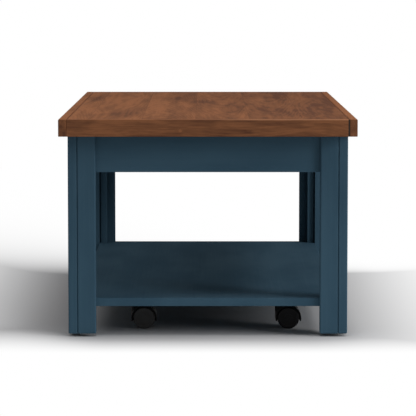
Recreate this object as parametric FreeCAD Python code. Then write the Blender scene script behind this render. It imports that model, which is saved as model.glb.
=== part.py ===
"""Coffee table on four hidden twin-wheel casters.

A stained wood top with applied edge strips stands on four painted corner legs,
each built up from boards. A low shelf ties the legs together and carries the casters.
Millimetres. The origin is on the floor under the middle of the table, +Z is up,
X runs across the table, Y runs along it, and the end that faces -Y is the front.
"""

import FreeCAD, Part
import math
import os

# Overall sizes of the table
table_length = 1219.0
table_width = 610.0
table_height = 454.0

# Top: a panel inside a frame of deeper strips
top_panel_thickness = 19.0
top_strip_height = 35.0
top_strip_thickness = 16.0
top_end_overhang = 55.0
top_edge_radius = 1.5
top_joint_easing = 1.2

# Legs: a side board, an end board, a core behind them and a foot block under the shelf
leg_width = 57.0
leg_board_thickness = 19.0
leg_core_width = 18.0
leg_core_depth = 27.0
leg_core_easing = 3.5
leg_floor_gap = 6.0
leg_edge_radius = 3.0
leg_groove_half_width = 1.8
leg_groove_depth = 2.6
foot_block_width = 33.0
foot_block_floor_gap = 14.0

# Aprons and the rail that joins the long ones half way along
apron_drop = 77.5
apron_thickness = 19.0
apron_setback = 10.0
apron_edge_radius = 1.5
rail_height = 60.0
rail_thickness = 19.0

# Corner braces and the bolts that draw the legs into the corners
brace_thickness = 22.0
brace_height = 50.0
brace_leg_gap = 15.0
bolt_radius = 3.0
bolt_depth_in_core = 17.0
bolt_end = 14.0
nut_across_flats = 10.0
nut_height = 5.0

# Shelf
shelf_thickness = 17.0
shelf_setback = 10.0
shelf_edge_radius = 1.5

# Casters: where they stand and how far the wheels trail behind the swivel
caster_spacing = 306.0
caster_end_inset = 190.0
caster_trail = 18.0
wheel_radius = 23.0
wheel_width = 18.0
wheel_edge_radius = 3.0
wheel_rim_wall = 3.5
wheel_disc_wall = 5.0
wheel_hub_radius = 7.0
wheel_cap_radius = 8.5
wheel_dish_depth = 1.4
axle_radius = 3.0
axle_depth_in_wheel = 14.0
hood_web = 9.0
hood_wall = 2.5
hood_width = 44.0
hood_skirt = 6.5
hood_wheel_gap = 2.0
hood_edge_radius = 1.2
boss_radius = 10.0
kingpin_radius = 5.0
kingpin_length = 12.5
bore_floor = 1.35
collar_radius = 8.0
collar_height = 1.0
ring_height = 1.2
ring_groove_depth = 0.9
ring_reach = 1.2
ring_rise = 2.0
plate_size = 44.0
plate_thickness = 2.5
plate_corner_radius = 5.0
plate_hole_spacing = 32.0

# Screws
screw_radius = 2.0
screw_head_radius = 4.0
screw_head_height = 2.6
screw_point = 3.0
screw_slot_width = 0.9
screw_slot_reach = 2.2
screw_slot_depth = 1.2
screw_bite = 12.0
caster_screw_length = 15.0
top_screw_bite = 11.0
top_screw_seat = 26.0
brace_screw_seat = 8.0
foot_screw_seat = 24.0
rail_screw_spacing = 260.0
head_pocket_gap = 0.6

# Clearances
wood_hole_gap = 0.05
press_gap = 0.02
running_gap = 0.05
swivel_gap = 0.2
wheel_side_gap = 0.6
ring_gap = 0.3
pin_end_gap = 0.8
plate_hole_gap = 0.3

# Levels and faces that several pieces share
top_underside = table_height - top_panel_thickness
strip_underside = table_height - top_strip_height
leg_outer_x = table_width / 2 - top_strip_thickness
leg_outer_y = table_length / 2 - top_end_overhang
leg_inner_x = leg_outer_x - leg_width
leg_inner_y = leg_outer_y - leg_width
board_inner_x = leg_outer_x - leg_board_thickness
board_inner_y = leg_outer_y - leg_board_thickness
core_inner_x = board_inner_x - leg_core_width
core_inner_y = board_inner_y - leg_core_depth
apron_underside = strip_underside - apron_drop
apron_outer_x = leg_outer_x - apron_setback
apron_outer_y = leg_outer_y - apron_setback
apron_inner_x = apron_outer_x - apron_thickness
apron_inner_y = apron_outer_y - apron_thickness
hood_inner_radius = wheel_radius + hood_wheel_gap
hood_outer_radius = hood_inner_radius + hood_wall
wheel_room_top = wheel_radius + math.sqrt(hood_inner_radius**2 - (caster_trail - kingpin_radius) ** 2)
pin_bottom = wheel_room_top + bore_floor + pin_end_gap
plate_underside = pin_bottom + kingpin_length + collar_height
shelf_underside = plate_underside + plate_thickness
shelf_top = shelf_underside + shelf_thickness
shelf_outer_y = leg_outer_y - shelf_setback
caster_x = caster_spacing / 2
caster_y = table_length / 2 - caster_end_inset
strip_inner_y = table_length / 2 - top_strip_thickness

# The brace lies across the corner at 45 degrees. Its two faces are given by how far
# along an apron they start, counted from the corner where the aprons would meet.
diagonal = math.sqrt(2)
core_corner_offset = (apron_inner_x - core_inner_x) + (apron_inner_y - core_inner_y)
brace_outer_start = core_corner_offset + brace_leg_gap * diagonal
brace_inner_start = brace_outer_start + brace_thickness * diagonal
brace_mid_start = (brace_outer_start + brace_inner_start) / 2
brace_underside = top_underside - brace_height
brace_mid_height = top_underside - brace_height / 2

UP = FreeCAD.Vector(0, 0, 1)
ALONG_X = FreeCAD.Vector(1, 0, 0)
ALONG_Y = FreeCAD.Vector(0, 1, 0)
ORIGIN = FreeCAD.Vector(0, 0, 0)
TOUCHING = 1e-6

CORNERS = {
    "front_left": (-1, -1),
    "front_right": (1, -1),
    "back_left": (-1, 1),
    "back_right": (1, 1),
}


def point(x, y, z):
    return FreeCAD.Vector(x, y, z)


def box(x_span, y_span, z_span):
    low = point(x_span[0], y_span[0], z_span[0])
    return Part.makeBox(x_span[1] - x_span[0], y_span[1] - y_span[0], z_span[1] - z_span[0], low)


def prism(corners, height):
    """A solid with a flat outline, extruded straight up."""
    outline = Part.makePolygon(corners + corners[:1])
    return Part.Face(outline).extrude(UP * height)


def lies_on(edge, axis, value):
    """True where the whole edge lies in the plane axis = value."""
    low = getattr(edge.BoundBox, axis + "Min")
    high = getattr(edge.BoundBox, axis + "Max")
    return abs(low - value) < TOUCHING and abs(high - value) < TOUCHING


def edges_where(shape, *planes):
    """The edges that lie in every one of the named planes."""
    return [edge for edge in shape.Edges if all(lies_on(edge, axis, value) for axis, value in planes)]


def to_corner(shape, side_x, side_y):
    """Mirror a piece made in the back right corner into the corner asked for."""
    if side_x < 0:
        shape = shape.mirror(ORIGIN, ALONG_X)
    if side_y < 0:
        shape = shape.mirror(ORIGIN, ALONG_Y)
    return shape


def vertical_wedge(centre_x, centre_y, toward_x, toward_y, half_width, depth, z_span):
    """A three-sided cutter for a V-groove: its mouth is on the face, its root points inward."""
    root = point(centre_x + toward_x * depth, centre_y + toward_y * depth, z_span[0])
    side = point(toward_y * half_width, toward_x * half_width, 0)
    mouth = point(centre_x, centre_y, z_span[0])
    return prism([root, mouth + side, mouth - side], z_span[1] - z_span[0])


def screw(length):
    """A pan-head wood screw: the head's seat is at the origin and the point is up."""
    head_base = screw_head_height / 2
    bend = math.cos(math.pi / 4)
    shoulder = point(screw_head_radius * bend, 0, -head_base - (screw_head_height - head_base) * bend)
    outline = Part.Wire([
        Part.LineSegment(point(0, 0, length), point(screw_radius, 0, length - screw_point)).toShape(),
        Part.LineSegment(point(screw_radius, 0, length - screw_point), point(screw_radius, 0, 0)).toShape(),
        Part.LineSegment(point(screw_radius, 0, 0), point(screw_head_radius, 0, 0)).toShape(),
        Part.LineSegment(point(screw_head_radius, 0, 0), point(screw_head_radius, 0, -head_base)).toShape(),
        Part.Arc(
            point(screw_head_radius, 0, -head_base),
            shoulder,
            point(0, 0, -screw_head_height),
        ).toShape(),
        Part.LineSegment(point(0, 0, -screw_head_height), point(0, 0, length)).toShape(),
    ])
    body = Part.Face(outline).revolve(ORIGIN, UP, 360)
    reach = screw_slot_reach
    half = screw_slot_width / 2
    slot_span = (-2 * screw_head_height, screw_slot_depth - screw_head_height)
    slot = box((-reach, reach), (-half, half), slot_span)
    cross = slot.fuse(slot.rotated(ORIGIN, UP, 90))
    return body.cut(cross)


def aimed(shape, seat, direction):
    """Turn a screw so that it points along a direction, with its head seated at a point."""
    turned = shape.copy()
    turned.Placement = FreeCAD.Placement(seat, FreeCAD.Rotation(UP, direction))
    return turned


def screw_hole(seat, direction, length, pocket):
    """The hole for a screw, with a pocket behind the seat that lets the head in."""
    shank = Part.makeCylinder(screw_radius + wood_hole_gap, length, seat, direction)
    head = Part.makeCylinder(screw_head_radius + head_pocket_gap, pocket, seat, direction * -1)
    return shank.fuse(head)


# Top

def top_panel():
    panel = box(
        (-leg_outer_x, leg_outer_x), (-strip_inner_y, strip_inner_y), (top_underside, table_height)
    )
    panel = panel.makeChamfer(top_joint_easing, edges_where(panel, ("Z", table_height)))
    for hole in top_screw_holes():
        panel = panel.cut(hole)
    return panel


def top_side_strip(side):
    outer = table_width / 2
    strip = box(
        (leg_outer_x, outer),
        (-table_length / 2, table_length / 2),
        (strip_underside, table_height),
    )
    strip = strip.makeChamfer(
        top_joint_easing,
        edges_where(strip, ("X", leg_outer_x), ("Z", table_height))
        + edges_where(strip, ("X", leg_outer_x), ("Y", table_length / 2))
        + edges_where(strip, ("X", leg_outer_x), ("Y", -table_length / 2)),
    )
    strip = strip.makeFillet(
        top_edge_radius,
        edges_where(strip, ("X", outer))
        + edges_where(strip, ("Y", table_length / 2), ("Z", strip_underside))
        + edges_where(strip, ("Y", -table_length / 2), ("Z", strip_underside)),
    )
    return to_corner(strip, side, 1)


def top_end_strip(side):
    outer = table_length / 2
    strip = box((-leg_outer_x, leg_outer_x), (strip_inner_y, outer), (strip_underside, table_height))
    strip = strip.makeChamfer(
        top_joint_easing,
        edges_where(strip, ("Y", strip_inner_y), ("Z", table_height))
        + edges_where(strip, ("X", leg_outer_x), ("Y", outer))
        + edges_where(strip, ("X", -leg_outer_x), ("Y", outer)),
    )
    strip = strip.makeFillet(
        top_edge_radius,
        edges_where(strip, ("Y", outer), ("Z", table_height))
        + edges_where(strip, ("Y", outer), ("Z", strip_underside)),
    )
    return to_corner(strip, 1, side)


# Legs, made in the back right corner

def leg_groove(z_span):
    return vertical_wedge(
        board_inner_x, leg_outer_y, 0, -1, leg_groove_half_width, leg_groove_depth, z_span
    )


def leg_side_board():
    height = (leg_floor_gap, top_underside)
    board = box((board_inner_x, leg_outer_x), (leg_inner_y, leg_outer_y), height)
    board = board.makeFillet(
        leg_edge_radius,
        edges_where(board, ("Z", leg_floor_gap))
        + edges_where(board, ("X", leg_outer_x), ("Y", leg_outer_y))
        + edges_where(board, ("X", leg_outer_x), ("Y", leg_inner_y)),
    )
    return board.cut(leg_groove(height))


def leg_end_board():
    height = (leg_floor_gap, top_underside)
    board = box((leg_inner_x, board_inner_x), (board_inner_y, leg_outer_y), height)
    board = board.makeFillet(
        leg_edge_radius,
        edges_where(board, ("Z", leg_floor_gap)) + edges_where(board, ("X", leg_inner_x), ("Y", leg_outer_y)),
    )
    return board.cut(leg_groove(height))


def leg_core():
    core = box((core_inner_x, board_inner_x), (core_inner_y, board_inner_y), (shelf_top, top_underside))
    core = core.makeChamfer(leg_core_easing, edges_where(core, ("X", board_inner_x), ("Y", core_inner_y)))
    return core.cut(bolt_hole())


def foot_block():
    block = box(
        (board_inner_x - foot_block_width, board_inner_x),
        (core_inner_y, board_inner_y),
        (foot_block_floor_gap, shelf_underside),
    )
    return block.cut(foot_screw_hole())


# Aprons and rail

def end_apron(side):
    apron = box(
        (-leg_inner_x, leg_inner_x), (apron_inner_y, apron_outer_y), (apron_underside, top_underside)
    )
    lower_edges = edges_where(apron, ("Z", apron_underside), ("Y", apron_outer_y))
    lower_edges += edges_where(apron, ("Z", apron_underside), ("Y", apron_inner_y))
    apron = apron.makeFillet(apron_edge_radius, lower_edges)
    for side_x in (-1, 1):
        apron = apron.cut(to_corner(end_brace_screw_hole(), side_x, 1))
    return to_corner(apron, 1, side)


def side_apron(side):
    apron = box(
        (apron_inner_x, apron_outer_x), (-leg_inner_y, leg_inner_y), (apron_underside, top_underside)
    )
    lower_edges = edges_where(apron, ("Z", apron_underside), ("X", apron_outer_x))
    lower_edges += edges_where(apron, ("Z", apron_underside), ("X", apron_inner_x))
    apron = apron.makeFillet(apron_edge_radius, lower_edges)
    for side_y in (-1, 1):
        apron = apron.cut(to_corner(side_brace_screw_hole(), 1, side_y))
    return to_corner(apron, side, 1)


def center_rail():
    half = rail_thickness / 2
    rail = box((-apron_inner_x, apron_inner_x), (-half, half), (top_underside - rail_height, top_underside))
    for seat in rail_screw_seats():
        rail = rail.cut(screw_hole(seat, UP, top_screw_length(), rail_height))
    return rail


# Corner braces and their hardware, made in the back right corner

def brace_spot(along):
    """A point half way through the brace, so far along it from its middle."""
    half_run = brace_mid_start / 2
    step = along / diagonal
    x = apron_inner_x - half_run + step
    y = apron_inner_y - half_run - step
    return x, y


def corner_brace():
    x, y = apron_inner_x, apron_inner_y
    brace = prism(
        [
            point(x - brace_outer_start, y, brace_underside),
            point(x - brace_inner_start, y, brace_underside),
            point(x, y - brace_inner_start, brace_underside),
            point(x, y - brace_outer_start, brace_underside),
        ],
        brace_height,
    )
    for hole in (bolt_hole(), end_brace_screw_hole(), side_brace_screw_hole()):
        brace = brace.cut(hole)
    for seat in brace_top_screw_seats():
        brace = brace.cut(screw_hole(seat, UP, top_screw_length(), brace_height))
    return brace


def bolt_direction():
    return point(1, 1, 0) / diagonal


def bolt_start():
    """The end of the bolt that stands out of the brace towards the middle of the table."""
    corner = point(core_inner_x, core_inner_y, brace_mid_height)
    return corner - bolt_direction() * (brace_leg_gap + brace_thickness + bolt_end)


def bolt_length():
    return bolt_end + brace_thickness + brace_leg_gap + bolt_depth_in_core


def bolt_hole():
    return Part.makeCylinder(bolt_radius + wood_hole_gap, bolt_length(), bolt_start(), bolt_direction())


def corner_bolt():
    return Part.makeCylinder(bolt_radius, bolt_length(), bolt_start(), bolt_direction())


def corner_nut():
    corner_radius = nut_across_flats / math.sqrt(3)
    angles = [math.radians(60 * step) for step in range(6)]
    corners = [point(corner_radius * math.cos(a), corner_radius * math.sin(a), 0) for a in angles]
    nut = prism(corners, nut_height).cut(Part.makeCylinder(bolt_radius + press_gap, nut_height))
    seat = bolt_start() + bolt_direction() * (bolt_end - nut_height)
    return aimed(nut, seat, bolt_direction())


def brace_screw_length():
    return brace_screw_seat + screw_bite


def end_brace_screw_seat():
    return point(apron_inner_x - brace_mid_start, apron_inner_y - brace_screw_seat, brace_mid_height)


def side_brace_screw_seat():
    return point(apron_inner_x - brace_screw_seat, apron_inner_y - brace_mid_start, brace_mid_height)


def end_brace_screw_hole():
    return screw_hole(end_brace_screw_seat(), ALONG_Y, brace_screw_length(), brace_thickness)


def side_brace_screw_hole():
    return screw_hole(side_brace_screw_seat(), ALONG_X, brace_screw_length(), brace_thickness)


def brace_screws():
    one = screw(brace_screw_length())
    return [
        aimed(one, end_brace_screw_seat(), ALONG_Y),
        aimed(one, side_brace_screw_seat(), ALONG_X),
    ]


# Screws that hold the top down, through the braces and the rail

def top_screw_length():
    return top_screw_seat + top_screw_bite


def brace_top_screw_seats():
    reach = brace_outer_start / 2
    seat_height = top_underside - top_screw_seat
    return [point(*brace_spot(along), seat_height) for along in (-reach, reach)]


def rail_screw_seats():
    seat_height = top_underside - top_screw_seat
    return [point(side * rail_screw_spacing / 2, 0, seat_height) for side in (-1, 1)]


def top_screw_seats():
    seats = rail_screw_seats()
    for side_x, side_y in CORNERS.values():
        seats += [point(side_x * s.x, side_y * s.y, s.z) for s in brace_top_screw_seats()]
    return seats


def top_screw_holes():
    return [screw_hole(seat, UP, top_screw_length(), screw_head_height) for seat in top_screw_seats()]


def top_screws():
    one = screw(top_screw_length())
    return [aimed(one, seat, UP) for seat in top_screw_seats()]


# Shelf and the screws that hold it to the foot blocks

def foot_screw_seat_point():
    x = board_inner_x - foot_block_width / 2
    y = (core_inner_y + board_inner_y) / 2
    return point(x, y, shelf_underside - foot_screw_seat)


def foot_screw_length():
    return foot_screw_seat + screw_bite


def foot_screw_hole():
    return screw_hole(foot_screw_seat_point(), UP, foot_screw_length(), shelf_underside)


def foot_screw():
    return aimed(screw(foot_screw_length()), foot_screw_seat_point(), UP)


def shelf_panel():
    """One board, cut back at its corners so that it passes behind the legs' end boards."""
    quarter = [
        (leg_inner_x, shelf_outer_y),
        (leg_inner_x, board_inner_y),
        (board_inner_x, board_inner_y),
    ]
    outline = quarter + [(x, -y) for x, y in reversed(quarter)]
    outline += [(-x, -y) for x, y in quarter] + [(-x, y) for x, y in reversed(quarter)]
    shelf = prism([point(x, y, shelf_underside) for x, y in outline], shelf_thickness)
    eased = []
    for level in (shelf_underside, shelf_top):
        for side in (-1, 1):
            eased += edges_where(shelf, ("Z", level), ("Y", side * shelf_outer_y))
            eased += edges_where(shelf, ("Z", level), ("X", side * board_inner_x))
    shelf = shelf.makeFillet(shelf_edge_radius, eased)
    for side_x, side_y in CORNERS.values():
        shelf = shelf.cut(to_corner(foot_screw_hole(), side_x, side_y))
        for seat in caster_screw_seats(side_x, side_y):
            shelf = shelf.cut(screw_hole(seat, UP, caster_screw_length, screw_head_height))
    return shelf


# Casters, made with the swivel's axis on the origin and the wheels trailing towards +X

def caster_screw_seats(side_x, side_y):
    half = plate_hole_spacing / 2
    x, y = side_x * caster_x, side_y * caster_y
    return [point(x + dx, y + dy, plate_underside) for dx in (-half, half) for dy in (-half, half)]


def caster_screws():
    one = screw(caster_screw_length)
    seats = [seat for sides in CORNERS.values() for seat in caster_screw_seats(*sides)]
    return [aimed(one, seat, UP) for seat in seats]


def at_caster(shape, side_x, side_y):
    return shape.translated(point(side_x * caster_x, side_y * caster_y, 0))


boss_top = plate_underside - collar_height - swivel_gap
ring_bottom = pin_bottom + ring_rise
axle_centre = point(caster_trail, 0, wheel_radius)
axle_length = hood_web + 2 * (wheel_side_gap + axle_depth_in_wheel)


def caster_plate():
    half = plate_size / 2
    plate = box((-half, half), (-half, half), (plate_underside, shelf_underside))
    upright = [edge for edge in plate.Edges if edge.BoundBox.ZLength > plate_thickness / 2]
    plate = plate.makeFillet(plate_corner_radius, upright)
    start = point(0, 0, plate_underside)
    plate = plate.cut(Part.makeCylinder(kingpin_radius + press_gap, plate_thickness, start))
    hole = Part.makeCylinder(screw_radius + plate_hole_gap, plate_thickness, start)
    half_spacing = plate_hole_spacing / 2
    for dx in (-half_spacing, half_spacing):
        for dy in (-half_spacing, half_spacing):
            plate = plate.cut(hole.translated(point(dx, dy, 0)))
    return plate


def kingpin():
    """A stem riveted through the plate, with a collar to turn on and a groove for its ring."""
    stem = Part.makeCylinder(kingpin_radius, shelf_underside - pin_bottom, point(0, 0, pin_bottom))
    collar_start = point(0, 0, plate_underside - collar_height)
    pin = stem.fuse(Part.makeCylinder(collar_radius, collar_height, collar_start))
    groove_height = ring_height + press_gap
    groove_start = point(0, 0, ring_bottom)
    groove = Part.makeCylinder(kingpin_radius + ring_gap, groove_height, groove_start)
    groove = groove.cut(Part.makeCylinder(kingpin_radius - ring_groove_depth, groove_height, groove_start))
    return pin.cut(groove).removeSplitter()


def retaining_ring():
    start = point(0, 0, ring_bottom)
    ring = Part.makeCylinder(kingpin_radius + ring_reach, ring_height, start)
    return ring.cut(Part.makeCylinder(kingpin_radius - ring_groove_depth + press_gap, ring_height, start))


def axle_bar(radius, length):
    """A bar along the axle, centred on the middle of the hood."""
    return Part.makeCylinder(radius, length, axle_centre - ALONG_Y * (length / 2), ALONG_Y)


def hood():
    """A cover over both wheels, with a web between them and a boss that the pin turns in."""
    shell = axle_bar(hood_outer_radius, hood_width)
    rims = [edge for edge in shell.Edges if edge.BoundBox.YLength < TOUCHING]
    shell = shell.makeFillet(hood_edge_radius, rims)
    boss_start = point(0, 0, wheel_radius)
    boss = Part.makeCylinder(boss_radius, boss_top - wheel_radius, boss_start)
    shell = shell.fuse(boss).removeSplitter()
    far = 2 * hood_outer_radius
    skirt_level = wheel_radius - hood_skirt
    shell = shell.cut(box((-far, far + caster_trail), (-far, far), (-far, skirt_level)))
    shell = shell.makeFillet(hood_edge_radius, edges_where(shell, ("Z", boss_top)))
    for side in (-1, 1):
        start = axle_centre + ALONG_Y * (side * hood_web / 2)
        shell = shell.cut(Part.makeCylinder(hood_inner_radius, hood_width, start, ALONG_Y * side))
    shell = shell.cut(axle_bar(axle_radius + press_gap, hood_width))
    bore_start = point(0, 0, pin_bottom - pin_end_gap)
    shell = shell.cut(Part.makeCylinder(kingpin_radius + running_gap, boss_top - bore_start.z, bore_start))
    room_start = point(0, 0, ring_bottom - ring_gap)
    room_radius = kingpin_radius + ring_reach + ring_gap
    return shell.cut(Part.makeCylinder(room_radius, ring_height + 2 * ring_gap, room_start))


def axle():
    return axle_bar(axle_radius, axle_length)


def wheel(side):
    """A moulded wheel, hollow on the side of the hood's web, with a dished outer face."""
    inner = hood_web / 2 + wheel_side_gap
    outer = inner + wheel_width
    blank = Part.makeCylinder(wheel_radius, wheel_width, ORIGIN, ALONG_Y)
    blank = blank.makeFillet(wheel_edge_radius, [e for e in blank.Edges if e.BoundBox.YLength < TOUCHING])
    hollow_depth = wheel_width - wheel_disc_wall
    hollow = Part.makeCylinder(wheel_radius - wheel_rim_wall, hollow_depth, ORIGIN, ALONG_Y)
    hollow = hollow.cut(Part.makeCylinder(wheel_hub_radius, hollow_depth, ORIGIN, ALONG_Y))
    dish_start = ALONG_Y * (wheel_width - wheel_dish_depth)
    dish_radius = wheel_radius - wheel_rim_wall - wheel_edge_radius
    dish = Part.makeCylinder(dish_radius, wheel_dish_depth, dish_start, ALONG_Y)
    dish = dish.cut(Part.makeCylinder(wheel_cap_radius, wheel_dish_depth, dish_start, ALONG_Y))
    bore_depth = axle_depth_in_wheel + pin_end_gap
    bore = Part.makeCylinder(axle_radius + running_gap, bore_depth, ORIGIN, ALONG_Y)
    turned = blank.cut(hollow).cut(dish).cut(bore)
    turned = turned.translated(axle_centre + ALONG_Y * (outer - wheel_width))
    return turned if side > 0 else turned.mirror(ORIGIN, ALONG_Y)


# The whole table

def build():
    parts = {"top_panel": top_panel(), "shelf_panel": shelf_panel(), "center_rail": center_rail()}
    for name, side in (("left", -1), ("right", 1)):
        parts["top_strip_" + name] = top_side_strip(side)
        parts["apron_" + name] = side_apron(side)
    for name, side in (("front", -1), ("back", 1)):
        parts["top_strip_" + name] = top_end_strip(side)
        parts["apron_" + name] = end_apron(side)
    groups = {"corner_bolts": [], "corner_nuts": [], "brace_screws": [], "foot_screws": []}
    groups["top_screws"] = top_screws()
    groups["caster_screws"] = caster_screws()
    groups["caster_kingpins"] = []
    groups["caster_rings"] = []
    for corner, sides in CORNERS.items():
        parts["leg_" + corner + "_side_board"] = to_corner(leg_side_board(), *sides)
        parts["leg_" + corner + "_end_board"] = to_corner(leg_end_board(), *sides)
        parts["leg_" + corner + "_core"] = to_corner(leg_core(), *sides)
        parts["foot_block_" + corner] = to_corner(foot_block(), *sides)
        parts["corner_brace_" + corner] = to_corner(corner_brace(), *sides)
        groups["corner_bolts"].append(to_corner(corner_bolt(), *sides))
        groups["corner_nuts"].append(to_corner(corner_nut(), *sides))
        groups["brace_screws"] += [to_corner(one, *sides) for one in brace_screws()]
        groups["foot_screws"].append(to_corner(foot_screw(), *sides))
        groups["caster_kingpins"].append(at_caster(kingpin(), *sides))
        groups["caster_rings"].append(at_caster(retaining_ring(), *sides))
        caster = "caster_" + corner
        parts[caster + "_plate"] = at_caster(caster_plate(), *sides)
        parts[caster + "_hood"] = at_caster(hood(), *sides)
        parts[caster + "_axle"] = at_caster(axle(), *sides)
        parts[caster + "_wheel_outer"] = at_caster(wheel(sides[1]), *sides)
        parts[caster + "_wheel_inner"] = at_caster(wheel(-sides[1]), *sides)
    for name, solids in groups.items():
        parts[name] = Part.makeCompound(solids)
    return parts


os.makedirs("parts", exist_ok=True)
for node, shape in build().items():
    shape.exportStep("parts/" + node + ".step")
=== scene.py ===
import math
import bpy
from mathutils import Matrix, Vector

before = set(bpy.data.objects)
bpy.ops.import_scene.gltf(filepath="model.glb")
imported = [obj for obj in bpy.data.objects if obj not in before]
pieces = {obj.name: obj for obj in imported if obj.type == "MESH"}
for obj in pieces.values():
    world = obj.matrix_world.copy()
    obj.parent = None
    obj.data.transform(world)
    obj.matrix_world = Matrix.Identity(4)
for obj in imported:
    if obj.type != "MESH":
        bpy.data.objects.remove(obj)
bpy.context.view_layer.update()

# The view. The table is seen square to its short end, from a little above the top,
# through a long lens that stands well back from it.
picture_pixels = 416
focal_pixels = 2399.4
film_width = 36.0
camera_place = (-0.0074, -5.4844, 0.7370)
tilt_down = 0.09481
turn_right = 0.00156
farthest_seen = 60.0

camera = bpy.data.objects.new("view", bpy.data.cameras.new("view"))
camera.data.sensor_width = film_width
camera.data.lens = focal_pixels * film_width / picture_pixels
camera.data.clip_end = farthest_seen
camera.location = camera_place
camera.rotation_euler = (math.pi / 2 - tilt_down, 0.0, -turn_right)
bpy.context.scene.collection.objects.link(camera)
bpy.context.scene.camera = camera

# The studio. A white room gives a little light all round, and four soft lamps stand
# overhead, to the right, to the left and low at the front right.
white = (1.0, 1.0, 1.0, 1.0)
room_light = 0.19
shown_white = 1.0
lamp_target = Vector((0.0, 0.0, 0.25))
bpy.context.scene.view_settings.view_transform = "Standard"


def add(tree, kind, inputs=None, **settings):
    """Place a node, with its settings, and give each named input a value or a link."""
    node = tree.nodes.new("ShaderNode" + kind)
    for name, value in settings.items():
        setattr(node, name, value)
    for key, value in (inputs or {}).items():
        if isinstance(value, bpy.types.NodeSocket):
            tree.links.new(value, node.inputs[key])
        else:
            node.inputs[key].default_value = value
    return node


def maths(tree, operation, *values):
    return add(tree, "Math", dict(enumerate(values)), operation=operation).outputs[0]


def seen_directly(tree):
    """1 for a ray that shows a surface to the eye, straight or by a mirror or glass."""
    path = add(tree, "LightPath").outputs
    shown = maths(tree, "MAXIMUM", path["Is Camera Ray"], path["Is Glossy Ray"])
    return maths(tree, "MAXIMUM", shown, path["Is Transmission Ray"])


def lamp(name, around, above, away, size, power):
    """A round soft lamp aimed at the table: degrees round from the front and above the floor, metres away."""
    turn, rise = math.radians(around), math.radians(above)
    aim = Vector((math.cos(rise) * math.sin(turn), -math.cos(rise) * math.cos(turn), math.sin(rise)))
    shade = bpy.data.lights.new(name, "AREA")
    shade.shape = "DISK"
    shade.size = size
    shade.energy = power
    holder = bpy.data.objects.new(name, shade)
    holder.location = lamp_target + aim * away
    holder.rotation_euler = (-aim).to_track_quat("-Z", "Y").to_euler()
    bpy.context.scene.collection.objects.link(holder)


room = bpy.data.worlds.new("white_room")
room.use_nodes = True
tree = room.node_tree
tree.nodes.clear()
room_strength = add(tree, "Mix", {0: seen_directly(tree), 2: room_light, 3: shown_white}).outputs[0]
room_glow = add(tree, "Background", {"Color": white, "Strength": room_strength})
add(tree, "OutputWorld", {"Surface": room_glow.outputs[0]})
bpy.context.scene.world = room

lamp("overhead_lamp", around=0.0, above=70.0, away=3.2, size=1.4, power=38.0)
lamp("right_lamp", around=72.0, above=50.0, away=3.2, size=1.0, power=22.0)
lamp("left_lamp", around=-72.0, above=50.0, away=3.2, size=1.6, power=10.0)
lamp("low_lamp", around=59.0, above=18.0, away=8.0, size=3.6, power=256.0)

# The floor. Near the table it is one plain pale colour, which takes the table's cast
# shadow; further out it glows white. The glow's edge is shaped unevenly round the table,
# so the outer fade of the shadow is painted light; under the table the glow is held off.
floor_reach = 14.0
floor_pale = (0.52, 0.52, 0.53, 1.0)
floor_bounce = (0.72, 0.72, 0.72, 1.0)
pale_in_front, white_in_front = -0.56, -0.79
# Towards each front corner, from one X to the other, the pale colour ends so much further back.
front_corners = ((-0.20, -0.44, 0.21), (0.20, 0.40, 0.13))
pale_to_white_at_sides = ((0.17, 0.68), (-0.315, -0.80))
pale_behind = 0.5
fade_behind, fade_lean, shortest_fade, most_fade_lengths = 0.175, -0.29, 0.05, -20.0
under_width, under_length = (0.33, 0.24), (0.64, 0.54)


def between(tree, value, low, high):
    """0 at low, 1 at high, smooth between."""
    return add(tree, "MapRange", {0: value, 1: low, 2: high}, interpolation_type="SMOOTHSTEP").outputs[0]


floor_mesh = bpy.data.meshes.new("floor")
floor_corners = [(-floor_reach, -floor_reach, 0), (floor_reach, -floor_reach, 0),
                 (floor_reach, floor_reach, 0), (-floor_reach, floor_reach, 0)]
floor_mesh.from_pydata(floor_corners, [], [(0, 1, 2, 3)])
floor = bpy.data.objects.new("floor", floor_mesh)
bpy.context.scene.collection.objects.link(floor)
floor_paint = bpy.data.materials.new("white_floor")
floor_paint.use_nodes = True
tree = floor_paint.node_tree
tree.nodes.clear()
place = add(tree, "SeparateXYZ", {0: add(tree, "TexCoord").outputs["Object"]}).outputs
# The glow's edge is shaped round the table, nearer at the front corners and on the right and longer behind on
# the left: painted light for where the shadow fades out.
front_edge = pale_in_front
for start, end, further_back in front_corners:
    in_corner = between(tree, place["X"], start, end)
    front_edge = maths(tree, "MULTIPLY_ADD", in_corner, further_back, front_edge)
faded = between(tree, place["Y"], front_edge, white_in_front)
for start, end in pale_to_white_at_sides:
    faded = maths(tree, "MAXIMUM", faded, between(tree, place["X"], start, end))
fade_length = maths(tree, "MULTIPLY_ADD", place["X"], fade_lean, fade_behind)
fade_length = maths(tree, "MAXIMUM", fade_length, shortest_fade)
behind = maths(tree, "DIVIDE", maths(tree, "SUBTRACT", pale_behind, place["Y"]), fade_length)
behind = maths(tree, "MINIMUM", maths(tree, "MAXIMUM", behind, most_fade_lengths), 0.0)
behind = maths(tree, "SUBTRACT", 1.0, maths(tree, "EXPONENT", behind))
faded = maths(tree, "MAXIMUM", faded, behind)
across_table = between(tree, maths(tree, "ABSOLUTE", place["X"]), *under_width)
along_table = between(tree, maths(tree, "ABSOLUTE", place["Y"]), *under_length)
below = maths(tree, "MULTIPLY", across_table, along_table)
faded = maths(tree, "MULTIPLY", faded, maths(tree, "SUBTRACT", 1.0, below))
near_pale = add(tree, "BsdfDiffuse", {"Color": floor_pale})
far_white = add(tree, "Emission", {"Color": white, "Strength": shown_white})
shown_floor = add(tree, "MixShader", {0: faded, 1: near_pale.outputs[0], 2: far_white.outputs[0]})
lit_floor = add(tree, "BsdfDiffuse", {"Color": floor_bounce})
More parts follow.
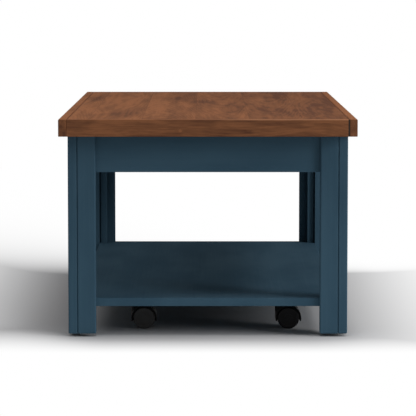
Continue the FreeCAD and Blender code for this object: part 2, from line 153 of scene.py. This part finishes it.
floor_mix = add(tree, "MixShader", {0: seen_directly(tree), 1: lit_floor.outputs[0], 2: shown_floor.outputs[0]})
add(tree, "OutputMaterial", {"Surface": floor_mix.outputs[0]})
floor_mesh.materials.append(floor_paint)

# The legs. Each is two planed softwood boards glued into a corner with a V-groove
# down the joint, a core strip behind them and a foot block below, all sprayed slate blue.
corners = ("front_left", "front_right", "back_left", "back_right")
slate_blue = (0.052, 0.106, 0.152, 1.0)
slate_shade = (0.041, 0.087, 0.128, 1.0)
# A lighter blue for the painted edges: part paint wear, part painted highlight of light catching the eased
# edges.
slate_wear_and_highlight = (0.076, 0.142, 0.194, 1.0)
wear_and_highlight_share = 0.55
paint_shine = 0.02
paint_dullness, paint_tone_gloss = 0.98, -0.1
leg_strokes = 0.2
flat_normal, bent_normal = 0.995, 0.9
gap_in_wear, full_wear = 0.3, 0.65
drift_scale = (9.0, 9.0, 3.0)
stroke_scale = (190.0, 190.0, 2.5)
bristle_scale = (900.0, 900.0, 14.0)
peel_scale = 620.0
bristle_height = 0.6
tone_limits = (0.36, 0.64)


def node_group(name, takes, gives):
    """An empty node group with its named inputs and outputs."""
    tree = bpy.data.node_groups.new(name, "ShaderNodeTree")
    for socket, kind, value in takes:
        made = tree.interface.new_socket(socket, in_out="INPUT", socket_type="NodeSocket" + kind)
        if value is not None:
            made.default_value = value
    for socket, kind in gives:
        tree.interface.new_socket(socket, in_out="OUTPUT", socket_type="NodeSocket" + kind)
    return tree, tree.nodes.new("NodeGroupInput").outputs, tree.nodes.new("NodeGroupOutput").inputs


def use_group(tree, group, inputs):
    return add(tree, "Group", inputs, node_tree=group).outputs


def stretched(tree, vector, scale):
    return add(tree, "VectorMath", {0: vector, 1: scale}, operation="MULTIPLY").outputs[0]


def noise(tree, vector, scale, detail=2.0, roughness=0.5):
    """Noise of so many specks to the metre: one number, or one for each axis."""
    if isinstance(scale, tuple):
        vector, scale = stretched(tree, vector, scale), 1.0
    inputs = {"Vector": vector, "Scale": scale, "Detail": detail, "Roughness": roughness}
    return add(tree, "TexNoise", inputs).outputs[0]


def tinted(tree, mask, first, second):
    return add(tree, "Mix", {0: mask, 6: first, 7: second}, data_type="RGBA").outputs[2]


def faintly_tinted(tree, mask, share, first, second):
    return tinted(tree, maths(tree, "MULTIPLY", mask, share), first, second)


def new_finish(name):
    """A material with one Principled shader; returns it, its node tree and the shader's inputs."""
    material = bpy.data.materials.new(name)
    material.use_nodes = True
    tree = material.node_tree
    tree.nodes.clear()
    shader = add(tree, "BsdfPrincipled")
    add(tree, "OutputMaterial", {"Surface": shader.outputs[0]})
    return material, tree, shader.inputs


def dulled(tree, shader, mask, change, least):
    tree.links.new(maths(tree, "MULTIPLY_ADD", mask, change, least), shader["Roughness"])


def raised(tree, shader, height, strength, depth):
    """A fine relief, so many metres deep."""
    relief = add(tree, "Bump", {"Strength": strength, "Distance": depth, "Height": height})
    tree.links.new(relief.outputs[0], shader["Normal"])


def grain_vector(tree, along):
    """The place on the piece in metres, turned so that the third axis runs along the board."""
    place = add(tree, "TexCoord").outputs["Object"]
    turn = {"X": (0.0, -math.pi / 2, 0.0), "Y": (math.pi / 2, 0.0, 0.0), "Z": (0.0, 0.0, 0.0)}[along]
    return add(tree, "Mapping", {"Vector": place, "Rotation": turn}).outputs[0]


def dress(material, *names):
    for name in names:
        pieces[name].material_slots[0].material = material


edge_wear, takes, gives = node_group(
    "edge_wear", [("Width", "Float", 0.002), ("Breaks", "Float", 60.0)], [("Mask", "Float")])
rounded = add(edge_wear, "Bevel", {"Radius": takes["Width"]}, samples=6).outputs[0]
plain = add(edge_wear, "NewGeometry").outputs["Normal"]
bend = add(edge_wear, "VectorMath", {0: rounded, 1: plain}, operation="DOT_PRODUCT").outputs["Value"]
place = add(edge_wear, "TexCoord").outputs["Object"]
broken = between(edge_wear, noise(edge_wear, place, takes["Breaks"], detail=3.0), gap_in_wear, full_wear)
on_edge = between(edge_wear, bend, flat_normal, bent_normal)
edge_wear.links.new(maths(edge_wear, "MULTIPLY", on_edge, broken), gives["Mask"])

sprayed_paint, takes, gives = node_group(
    "sprayed_paint", [("Vector", "Vector", None), ("Strokes", "Float", 0.5)],
    [("Tone", "Float"), ("Height", "Float")])
drift = noise(sprayed_paint, takes["Vector"], drift_scale, detail=3.0)
strokes = noise(sprayed_paint, takes["Vector"], stroke_scale, detail=3.0)
bristles = noise(sprayed_paint, takes["Vector"], bristle_scale, detail=2.0)
peel = noise(sprayed_paint, takes["Vector"], peel_scale, detail=1.0)
mixed = add(sprayed_paint, "Mix", {0: takes["Strokes"], 2: drift, 3: strokes}).outputs[0]
sprayed_paint.links.new(between(sprayed_paint, mixed, *tone_limits), gives["Tone"])
sprayed_paint.links.new(maths(sprayed_paint, "MULTIPLY_ADD", bristles, bristle_height, peel), gives["Height"])


def slate_paint(name, along, strokes):
    """Slate blue, sprayed along the board: how much its strokes show."""
    material, tree, shader = new_finish(name)
    coat = use_group(tree, sprayed_paint, {"Vector": grain_vector(tree, along), "Strokes": strokes})
    worn = use_group(tree, edge_wear, {"Width": 0.0016, "Breaks": 40.0})["Mask"]
    colour = tinted(tree, coat["Tone"], slate_shade, slate_blue)
    # Edges are tinted the lighter blue: part wear, part painted highlight where light catches the eased edges.
    colour = faintly_tinted(tree, worn, wear_and_highlight_share, colour, slate_wear_and_highlight)
    tree.links.new(colour, shader["Base Color"])
    dulled(tree, shader, coat["Tone"], paint_tone_gloss, paint_dullness)
    raised(tree, shader, coat["Height"], strength=0.12, depth=0.0006)
    shader["Specular IOR Level"].default_value = paint_shine
    return material


leg_paint = slate_paint("leg_paint", "Z", leg_strokes)
for corner in corners:
    dress(leg_paint, f"leg_{corner}_side_board", f"leg_{corner}_end_board", f"leg_{corner}_core",
          "foot_block_" + corner)

# The aprons. Four planed boards stand on edge between the legs, set back from their
# faces, under the top, and are sprayed with the same paint.
apron_strokes = 0.12
dress(slate_paint("end_apron_paint", "X", apron_strokes), "apron_front", "apron_back")
dress(slate_paint("side_apron_paint", "Y", apron_strokes), "apron_left", "apron_right")

# The rail across the middle and the four corner braces. They are plain pine,
# planed and left bare, because nobody sees them.
pine_light = (0.55, 0.36, 0.19, 1.0)
pine_dark = (0.36, 0.19, 0.085, 1.0)
pine_heart, pine_width = 0.02, 1.2
pine_figure, pine_fibre = 0.7, 0.35
numbers_from = 40.0
stave_shift = (3.0, 3.0, 9.0)
seam_edge, seam_middle = 0.0007, 0.0002
branch_scale = (7.0, 7.0, 4.0)
branch_share = 0.12
knot_reach, swirl_reach, knot_heart = 0.12, 0.5, 0.05
wander_scale, wander_width = (5.0, 5.0, 1.6), 0.09
heart_spread = 0.9
ring_curve, ring_tilt, ring_swirl = 75.0, 6.0, 0.3
ring_shake_scale, ring_shake = (24.0, 24.0, 3.4), 0.24
ring_count = 14.0
fibre_scale = (420.0, 420.0, 7.0)
pore_scale = (1100.0, 1100.0, 45.0)
blotch_wide, streak_wide = (13.0, 13.0, 1.9), (52.0, 52.0, 5.0)
blotch_share, streak_share = 0.6, 0.4
ring_limits, pore_limits, blotch_limits = (-0.7, 1.0), (0.6, 0.72), (0.36, 0.64)

wood_figure, takes, gives = node_group(
    "wood_figure",
    [("Vector", "Vector", None), ("Batch", "Float", 0.0), ("Heart", "Float", 0.0),
     ("Stave Width", "Float", 0.1), ("Blotch Scale", "Vector", (1.0, 1.0, 1.0))],
    [("Stave", "Float"), ("Seam", "Float"), ("Figure", "Float"), ("Fibre", "Float"), ("Pores", "Float"),
     ("Blotch", "Float"), ("Knot", "Float")])
tree = wood_figure
grain = add(tree, "SeparateXYZ", {0: takes["Vector"]}).outputs
staves_over = maths(tree, "SUBTRACT", grain["X"], takes["Heart"])
staves_over = maths(tree, "DIVIDE", staves_over, takes["Stave Width"])
stave_number = maths(tree, "FLOOR", maths(tree, "ADD", staves_over, numbers_from + 0.5))
stave_drawn = maths(tree, "ADD", stave_number, takes["Batch"])
stave_chance = add(tree, "TexWhiteNoise", {"W": stave_drawn}, noise_dimensions="1D").outputs
chance = add(tree, "SeparateColor", {0: stave_chance["Color"]}).outputs
offset = stretched(tree, stave_chance["Color"], stave_shift)
in_stave = add(tree, "VectorMath", {0: takes["Vector"], 1: offset}, operation="ADD").outputs[0]
off_middle = maths(tree, "SUBTRACT", staves_over, stave_number)
off_middle = maths(tree, "ADD", off_middle, numbers_from)
from_seam = maths(tree, "SUBTRACT", 0.5, maths(tree, "ABSOLUTE", off_middle))
from_seam = maths(tree, "MULTIPLY", from_seam, takes["Stave Width"])
seam = between(tree, from_seam, seam_edge, seam_middle)
branch = add(tree, "TexVoronoi", {"Vector": stretched(tree, in_stave, branch_scale), "Scale": 1.0}).outputs
branch_chance = add(tree, "SeparateColor", {0: branch["Color"]}).outputs[0]
has_knot = maths(tree, "LESS_THAN", branch_chance, branch_share)
knot = maths(tree, "MULTIPLY", has_knot, between(tree, branch["Distance"], knot_reach, knot_heart))
swirl = maths(tree, "MULTIPLY", has_knot, between(tree, branch["Distance"], swirl_reach, knot_heart))
wander = noise(tree, in_stave, wander_scale)
heart_drawn = maths(tree, "MULTIPLY", maths(tree, "SUBTRACT", chance[0], 0.5), heart_spread)
from_heart = maths(tree, "MULTIPLY", takes["Stave Width"], maths(tree, "ADD", off_middle, heart_drawn))
from_heart = maths(tree, "SUBTRACT", from_heart, wander_width / 2)
from_heart = maths(tree, "MULTIPLY_ADD", wander, wander_width, from_heart)
growth = maths(tree, "MULTIPLY", maths(tree, "MULTIPLY", from_heart, from_heart), ring_curve)
run_out = maths(tree, "SUBTRACT", maths(tree, "MULTIPLY", chance[1], 2.0), 1.0)
growth = maths(tree, "MULTIPLY_ADD", grain["Z"], run_out, growth)
growth = maths(tree, "MULTIPLY_ADD", grain["Y"], ring_tilt, growth)
growth = maths(tree, "MULTIPLY_ADD", noise(tree, in_stave, ring_shake_scale, detail=3.0), ring_shake, growth)
growth = maths(tree, "MULTIPLY_ADD", swirl, ring_swirl, growth)
rings = maths(tree, "SINE", maths(tree, "MULTIPLY", growth, ring_count * 2 * math.pi))
fibre = noise(tree, in_stave, fibre_scale, detail=5.0, roughness=0.65)
pores = noise(tree, in_stave, pore_scale, detail=1.0)
in_grain = stretched(tree, in_stave, takes["Blotch Scale"])
streak = maths(tree, "MULTIPLY", noise(tree, in_grain, streak_wide, detail=3.0), streak_share)
blotch = maths(tree, "MULTIPLY_ADD", noise(tree, in_grain, blotch_wide, detail=3.0), blotch_share, streak)
for value, socket in ((stave_chance["Value"], "Stave"), (seam, "Seam"),
                      (between(tree, rings, *ring_limits), "Figure"), (fibre, "Fibre"),
                      (between(tree, pores, *pore_limits), "Pores"),
                      (between(tree, blotch, *blotch_limits), "Blotch"), (knot, "Knot")):
    tree.links.new(value, gives[socket])


def bare_pine(name, along):
    material, tree, shader = new_finish(name)
    wood = use_group(tree, wood_figure, {"Vector": grain_vector(tree, along), "Heart": pine_heart,
                                         "Stave Width": pine_width})
    colour = faintly_tinted(tree, wood["Figure"], pine_figure, pine_light, pine_dark)
    colour = faintly_tinted(tree, wood["Fibre"], pine_fibre, colour, pine_dark)
    tree.links.new(colour, shader["Base Color"])
    dulled(tree, shader, wood["Fibre"], change=0.2, least=0.55)
    raised(tree, shader, wood["Fibre"], strength=0.2, depth=0.0006)
    return material


dress(bare_pine("rail_pine", "X"), "center_rail")
dress(bare_pine("brace_pine", "Z"), *["corner_brace_" + corner for corner in corners])

# The screws, corner bolts and nuts. They are turned and rolled from steel wire and
# plated with bright zinc; the screws go into the top, the shelf and the aprons.
zinc_light = (0.62, 0.62, 0.60, 1.0)
zinc_dark = (0.40, 0.40, 0.39, 1.0)
zinc_cloud_scale, zinc_relief_scale = 240.0, 900.0
zinc, tree, shader = new_finish("bright_zinc")
place = add(tree, "TexCoord").outputs["Object"]
cloud = noise(tree, place, zinc_cloud_scale, detail=3.0)
tree.links.new(tinted(tree, cloud, zinc_dark, zinc_light), shader["Base Color"])
dulled(tree, shader, cloud, change=0.3, least=0.2)
raised(tree, shader, noise(tree, place, zinc_relief_scale), strength=0.1, depth=0.0002)
shader["Metallic"].default_value = 1.0
dress(zinc, "corner_bolts", "corner_nuts", "brace_screws", "foot_screws", "top_screws", "caster_screws")

# The shelf. One wide board, notched round the legs and screwed to the foot blocks
# from below, is sprayed with the same slate blue.
shelf_strokes = 0.2
dress(slate_paint("shelf_paint", "Y", shelf_strokes), "shelf_panel")

# The top. A panel of glued softwood staves lies inside a frame of deeper edge strips;
# all of it is stained brown and sealed with a satin lacquer.
stain_light = (0.252, 0.103, 0.048, 1.0)
stain_middle = (0.182, 0.076, 0.037, 1.0)
stain_dark = (0.102, 0.043, 0.025, 1.0)
# A light stain colour for a painted highlight on the end strips' upper arris, coloured like stain rubbed thin.
stain_rubbed_highlight = (0.40, 0.19, 0.10, 1.0)
joint_dark = (0.040, 0.031, 0.026, 1.0)
lacquer_shine = 0.02
top_face, front_face = 0.454, -0.6095
joint_place = 0.2877
open_joint, gathered_line = (0.0020, 0.0011), (0.0030, 0.0012)
gathered_share = 0.75
blotch_depth, stave_depth, knot_depth = 0.58, 0.14, 0.5
light_to_middle, middle_to_dark = (0.1, 0.55), (0.45, 1.0)
pore_share, seam_share, worn_share = 0.45, 0.6, 0.5
highlight_from, highlight_to = -0.02, 0.12
ragged_scale = (70.0, 12.0, 70.0)
mark_edge, mark_full = 1.6, 0.6
panel_mark_depth, end_mark_depth = 0.05, 0.02
faces_squarely, faces_mostly, arris_slope = (0.6, 0.8), (0.5, 0.7), (0.05, 0.35)

mark, takes, gives = node_group(
    "wood_mark", [("Vector", "Vector", None), ("Place", "Vector", None), ("Reach", "Vector", None)],
    [("Mask", "Float")])
away = add(mark, "VectorMath", {0: takes["Vector"], 1: takes["Place"]}, operation="SUBTRACT").outputs[0]
away = add(mark, "VectorMath", {0: away, 1: takes["Reach"]}, operation="DIVIDE").outputs[0]
away = add(mark, "VectorMath", {0: away}, operation="LENGTH").outputs["Value"]
away = maths(mark, "ADD", away, noise(mark, takes["Vector"], ragged_scale, detail=3.0))
mark.links.new(between(mark, away, mark_edge, mark_full), gives["Mask"])


def stained(name, along, batch, heart, stave_width, blotch_scale, figure, fibre, tone,
            to_right=0.0, on_ends=0.0, arris_highlight=0.0, marks=()):
    """Brown stain: how deep it is all over, how much deeper to the right, on the end grain and at marks."""
    material, tree, shader = new_finish(name)
    wood = use_group(tree, wood_figure, {"Vector": grain_vector(tree, along), "Batch": batch, "Heart": heart,
                                         "Stave Width": stave_width, "Blotch Scale": blotch_scale})
    surface = add(tree, "TexCoord").outputs
    place = add(tree, "SeparateXYZ", {0: surface["Object"]}).outputs
    facing = add(tree, "SeparateXYZ", {0: surface["Normal"]}).outputs
    faces_end = maths(tree, "ABSOLUTE", facing["Y"])
    depth = maths(tree, "MULTIPLY_ADD", place["X"], to_right, tone)
    depth = maths(tree, "MULTIPLY_ADD", between(tree, faces_end, *faces_squarely), on_ends, depth)
    for layer, strength in (("Blotch", blotch_depth), ("Figure", figure), ("Fibre", fibre),
                            ("Stave", stave_depth), ("Knot", knot_depth)):
        depth = maths(tree, "MULTIPLY_ADD", wood[layer], strength, depth)
    for spot, reach, strength in marks:
        spotted = use_group(tree, mark, {"Vector": surface["Object"], "Place": spot, "Reach": reach})["Mask"]
        depth = maths(tree, "MULTIPLY_ADD", spotted, strength, depth)
    colour = tinted(tree, between(tree, depth, *light_to_middle), stain_light, stain_middle)
    colour = tinted(tree, between(tree, depth, *middle_to_dark), colour, stain_dark)
    pores = maths(tree, "MULTIPLY", wood["Pores"], pore_share)
    seams = maths(tree, "MULTIPLY", wood["Seam"], seam_share)
    colour = tinted(tree, maths(tree, "MAXIMUM", pores, seams), colour, stain_dark)
    worn = use_group(tree, edge_wear, {"Width": 0.0016, "Breaks": 30.0})["Mask"]
    colour = faintly_tinted(tree, worn, worn_share, colour, stain_light)
    # A painted highlight along the upper arris of the end strips, on the right half only where light from the
    # right catches it, coloured as stain rubbed thin.
    arris = between(tree, maths(tree, "MULTIPLY", faces_end, facing["Z"]), *arris_slope)
    arris_highlight_mask = maths(tree, "MULTIPLY", arris, arris_highlight)
    arris_highlight_mask = maths(tree, "MULTIPLY", arris_highlight_mask, between(tree, place["X"], highlight_from, highlight_to))
    colour = tinted(tree, arris_highlight_mask, colour, stain_rubbed_highlight)
    from_joint = maths(tree, "ABSOLUTE", maths(tree, "SUBTRACT", place["X"], joint_place))
    in_joint = between(tree, from_joint, *open_joint)
    in_joint = maths(tree, "MULTIPLY", in_joint, between(tree, faces_end, *faces_mostly))
    colour = tinted(tree, in_joint, colour, joint_dark)
    beside = maths(tree, "SUBTRACT", maths(tree, "ABSOLUTE", place["X"]), joint_place)
    gathered = between(tree, maths(tree, "ABSOLUTE", beside), *gathered_line)
    gathered = maths(tree, "MULTIPLY", gathered, between(tree, facing["Z"], *faces_squarely))
    colour = faintly_tinted(tree, gathered, gathered_share, colour, stain_dark)
    tree.links.new(colour, shader["Base Color"])
    dulled(tree, shader, wood["Fibre"], change=0.2, least=0.8)
    raised(tree, shader, maths(tree, "SUBTRACT", wood["Fibre"], wood["Pores"]), strength=0.15, depth=0.0005)
    shader["Specular IOR Level"].default_value = lacquer_shine
    return material


# Each mark is its place, then its reach across and along or up, then how much deeper the stain is.
panel_marks = [((x, y, top_face), (across, along, panel_mark_depth), deeper)
               for x, y, across, along, deeper in (
    (-0.270, 0.265, 0.024, 0.21, 0.5),
    (0.243, -0.028, 0.022, 0.09, 0.4),
    (0.202, -0.259, 0.020, 0.10, 0.3),
    (0.167, 0.318, 0.011, 0.17, 0.35),
    (-0.010, 0.108, 0.045, 0.11, 0.35),
    (-0.070, 0.264, 0.010, 0.14, 0.35),
    (-0.100, -0.156, 0.012, 0.12, -0.35),
    (-0.180, -0.430, 0.110, 0.12, 0.16),
    (0.130, 0.050, 0.060, 0.30, -0.16),
)]
end_marks = [((x, front_face, z), (across, end_mark_depth, up), deeper)
             for x, z, across, up, deeper in (
    (-0.056, 0.431, 0.005, 0.005, -0.5),
    (0.082, 0.428, 0.020, 0.006, 0.35),
    (0.135, 0.437, 0.045, 0.007, -0.2),
)]
panel_stain = stained(
    "stained_panel", "Y", batch=126, heart=0.03, stave_width=0.11, blotch_scale=(1.0, 1.0, 1.0),
    figure=0.15, fibre=0.32, tone=-0.11, to_right=0.75, marks=panel_marks)
dress(panel_stain, "top_panel")
side_strip_stain = stained(
    "stained_side_strip", "Y", batch=0, heart=0.02, stave_width=1.2, blotch_scale=(2.0, 2.0, 1.5),
    figure=0.12, fibre=0.45, tone=-0.52, to_right=-0.47, on_ends=0.44)
dress(side_strip_stain, "top_strip_left", "top_strip_right")
end_strip_stain = stained(
    "stained_end_strip", "X", batch=3, heart=0.46, stave_width=0.3, blotch_scale=(3.0, 3.0, 5.0),
    figure=0.08, fibre=0.6, tone=-0.17, arris_highlight=0.9, marks=end_marks)
dress(end_strip_stain, "top_strip_front", "top_strip_back")

# The caster plates. Each is a square of steel sheet, blanked, drilled and coated black,
# screwed up under the shelf, with its kingpin riveted through it.
coat_black = (0.016, 0.016, 0.018, 1.0)
coat_worn = (0.10, 0.10, 0.10, 1.0)
coat_worn_share = 0.6
coat_cloud_scale, coat_relief_scale = 130.0, 700.0
plate_coat, tree, shader = new_finish("black_plate_coat")
place = add(tree, "TexCoord").outputs["Object"]
worn = use_group(tree, edge_wear, {"Width": 0.0008, "Breaks": 150.0})["Mask"]
tree.links.new(faintly_tinted(tree, worn, coat_worn_share, coat_black, coat_worn), shader["Base Color"])
dulled(tree, shader, noise(tree, place, coat_cloud_scale, detail=3.0), change=0.25, least=0.3)
raised(tree, shader, noise(tree, place, coat_relief_scale), strength=0.1, depth=0.0002)
dress(plate_coat, *[f"caster_{corner}_plate" for corner in corners])
dress(zinc, "caster_kingpins", "caster_rings", *[f"caster_{corner}_axle" for corner in corners])

# The hoods. Each is one moulding of black nylon: a cover over two wheels, the web
# between them and the boss that turns on the kingpin.
nylon_black = (0.008, 0.008, 0.009, 1.0)
nylon_scuffed = (0.014, 0.014, 0.015, 1.0)
nylon_shine = 0.1
nylon_tone_scale = 70.0
nylon_tone_share = 0.5
hood_texture, hood_dullness = 1100.0, 0.45

moulded, takes, gives = node_group(
    "moulded_nylon", [("Scale", "Float", 900.0)], [("Tone", "Float"), ("Height", "Float")])
place = add(moulded, "TexCoord").outputs["Object"]
cells = add(moulded, "TexVoronoi", {"Vector": place, "Scale": takes["Scale"]}, feature="SMOOTH_F1")
moulded.links.new(cells.outputs[0], gives["Height"])
moulded.links.new(noise(moulded, place, nylon_tone_scale, detail=3.0), gives["Tone"])


def nylon(name, black, scuffed, texture_scale, dullness):
    material, tree, shader = new_finish(name)
    skin = use_group(tree, moulded, {"Scale": texture_scale})
    worn = use_group(tree, edge_wear, {"Width": 0.0012, "Breaks": 120.0})["Mask"]
    colour = faintly_tinted(tree, skin["Tone"], nylon_tone_share, black, scuffed)
    tree.links.new(tinted(tree, worn, colour, scuffed), shader["Base Color"])
    dulled(tree, shader, skin["Tone"], change=0.2, least=dullness)
    raised(tree, shader, skin["Height"], strength=0.15, depth=0.0003)
    shader["Specular IOR Level"].default_value = nylon_shine
    return material


hood_nylon = nylon("hood_nylon", nylon_black, nylon_scuffed, hood_texture, hood_dullness)
dress(hood_nylon, *[f"caster_{corner}_hood" for corner in corners])

# The wheels. Two to a caster, each a hollow nylon moulding with a dished face and
# a rim that the floor has scuffed. Those on the left-hand side are painted a lighter grey, as painted light:
# lit, while those on the right stand in shade.
wheel_black = (0.007, 0.007, 0.008, 1.0)
wheel_scuffed = (0.019, 0.019, 0.019, 1.0)
# A lighter grey nylon: painted light for the left-hand wheels.
wheel_painted_lit = (0.042, 0.042, 0.042, 1.0)
wheel_painted_lit_scuffed = (0.056, 0.056, 0.055, 1.0)
wheel_texture, wheel_dullness = 700.0, 0.38
painted_lit_wheel = nylon("painted_lit_wheel_nylon", wheel_painted_lit, wheel_painted_lit_scuffed, wheel_texture, wheel_dullness)
clean_wheel = nylon("wheel_nylon", wheel_black, wheel_scuffed, wheel_texture, wheel_dullness)
# The left-hand wheels get the lighter grey, painted light for the light that reaches them.
for corner in corners:
    dress(painted_lit_wheel if corner.endswith("left") else clean_wheel,
          f"caster_{corner}_wheel_outer", f"caster_{corner}_wheel_inner")
